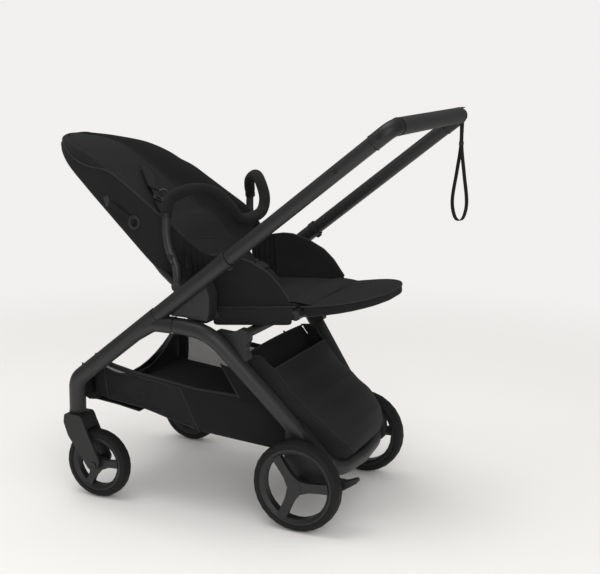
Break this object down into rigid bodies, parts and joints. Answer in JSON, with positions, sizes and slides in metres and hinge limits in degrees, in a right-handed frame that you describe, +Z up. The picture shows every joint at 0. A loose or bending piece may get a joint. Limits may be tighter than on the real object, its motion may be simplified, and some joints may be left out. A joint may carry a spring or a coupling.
{
  "type": "pushchair",
  "caption": "Folding pushchair with a telescoping handle, a reclining bucket seat with a hinged leg rest, a bumper bar, an underseat basket and swivelling front wheels.",
  "frame": {"origin": "on the ground, halfway between the front and rear axles, in the middle of the width", "axes": "+Z up, travel toward -X, the handle at +X, +Y the side that is far in the picture"},
  "size_m": [0.9661, 0.5244, 0.9364],
  "materials": {
    "painted_tube": "fine matt black paint",
    "moulding": "fine grained",
    "tyre": "matt foam-filled rubber",
    "grip": "matt, faintly leather grained",
    "cloth": "woven, matt",
    "pin": "satin"
  },
  "bodies": {
    "chassis": {"front_leg_left": "painted_tube", "front_leg_right": "painted_tube", "lower_tube_left": "painted_tube", "lower_tube_right": "painted_tube", "collar_left": "moulding", "collar_right": "moulding", "fold_pin_left": "pin", "fold_pin_right": "pin", "seat_mount_left": "moulding", "seat_mount_right": "moulding", "recline_pin_left": "pin", "recline_pin_right": "pin", "front_apron": "moulding", "seat_base_frame": "painted_tube", "seat_board": "moulding", "seat_pad": "cloth", "seat_wing_left": "cloth", "seat_wing_right": "cloth", "seat_gusset_left": "cloth", "seat_gusset_right": "cloth", "basket_tub": "cloth", "crotch_buckle": "moulding"},
    "rear_frame": {"rear_frame": "painted_tube", "cross_bar": "painted_tube", "rear_bracket_left": "moulding", "rear_bracket_right": "moulding", "basket_pouch": "cloth"},
    "rear_wheel_left": {"rear_wheel_left": "moulding", "rear_tyre_left": "tyre"},
    "rear_wheel_right": {"rear_wheel_right": "moulding", "rear_tyre_right": "tyre"},
    "brake": {"brake_pedal": "moulding"},
    "caster_left": {"caster_fork_left": "moulding"},
    "caster_right": {"caster_fork_right": "moulding"},
    "front_wheel_left": {"front_wheel_left": "moulding", "front_tyre_left": "tyre"},
    "front_wheel_right": {"front_wheel_right": "moulding", "front_tyre_right": "tyre"},
    "handle": {"handle_tube_left": "painted_tube", "handle_tube_right": "painted_tube", "handle_elbow_left": "moulding", "handle_elbow_right": "moulding", "handle_grip": "grip", "wrist_strap": "cloth"},
    "backrest": {"backrest_frame": "painted_tube", "backrest_shell": "cloth", "back_pad": "cloth", "shoulder_strap_left": "cloth", "shoulder_strap_right": "cloth"},
    "bumper": {"bumper_bar": "cloth", "bumper_sleeve_left": "moulding", "bumper_sleeve_right": "moulding"},
    "bumper_button_left": {"bumper_button_left": "moulding"},
    "bumper_button_right": {"bumper_button_right": "moulding"},
    "leg_rest": {"leg_rest_frame": "painted_tube", "leg_rest_pad": "cloth"}
  },
  "joints": [
    {"name": "rear_frame_fold", "type": "hinge", "parent": "chassis", "child": "rear_frame", "pos_m": [-0.03, 0, 0.4424], "axis": [0, 1, 0], "range_deg": [0, 44], "deforming": ["basket_tub"]},
    {"name": "rear_wheel_left_spin", "type": "hinge", "parent": "rear_frame", "child": "rear_wheel_left", "pos_m": [0.26, -0.2055, 0.1062], "axis": [0, 1, 0], "continuous": true},
    {"name": "rear_wheel_right_spin", "type": "hinge", "parent": "rear_frame", "child": "rear_wheel_right", "pos_m": [0.26, 0.2055, 0.1062], "axis": [0, 1, 0], "continuous": true},
    {"name": "brake_pedal_press", "type": "hinge", "parent": "rear_frame", "child": "brake", "pos_m": [0.3475, -0.17, 0.112], "axis": [0, 1, 0], "range_deg": [0, 15], "stiffness_Nm_per_rad": 0.8},
    {"name": "caster_left_swivel", "type": "hinge", "parent": "chassis", "child": "caster_left", "pos_m": [-0.3175, -0.225, 0.206], "axis": [0, 0, 1], "continuous": true},
    {"name": "caster_right_swivel", "type": "hinge", "parent": "chassis", "child": "caster_right", "pos_m": [-0.3175, 0.225, 0.206], "axis": [0, 0, 1], "continuous": true},
    {"name": "front_wheel_left_spin", "type": "hinge", "parent": "caster_left", "child": "front_wheel_left", "pos_m": [-0.26, -0.225, 0.0845], "axis": [0, 1, 0], "continuous": true},
    {"name": "front_wheel_right_spin", "type": "hinge", "parent": "caster_right", "child": "front_wheel_right", "pos_m": [-0.26, 0.225, 0.0845], "axis": [0, 1, 0], "continuous": true},
    {"name": "handle_height", "type": "slide", "parent": "chassis", "child": "handle", "axis": [0.7837, 0, 0.6211], "range_m": [-0.25, 0.19]},
    {"name": "backrest_recline", "type": "hinge", "parent": "chassis", "child": "backrest", "pos_m": [0.01, 0, 0.505], "axis": [0, 1, 0], "range_deg": [-23.7, 25.3], "deforming": ["seat_gusset_left", "seat_gusset_right"]},
    {"name": "bumper_bar_swing", "type": "hinge", "parent": "backrest", "child": "bumper", "pos_m": [-0.03963, 0, 0.53896], "axis": [0, 1, 0], "range_deg": [-20, 0]},
    {"name": "bumper_button_left_press", "type": "slide", "parent": "bumper", "child": "bumper_button_left", "axis": [0, 1, 0], "range_m": [0, 0.0022], "stiffness_N_per_m": 300},
    {"name": "bumper_button_right_press", "type": "slide", "parent": "bumper", "child": "bumper_button_right", "axis": [0, -1, 0], "range_m": [0, 0.0022], "stiffness_N_per_m": 300},
    {"name": "leg_rest_tilt", "type": "hinge", "parent": "chassis", "child": "leg_rest", "pos_m": [0.2385, 0, 0.49], "axis": [0, 1, 0], "range_deg": [0, 55]}
  ]
}
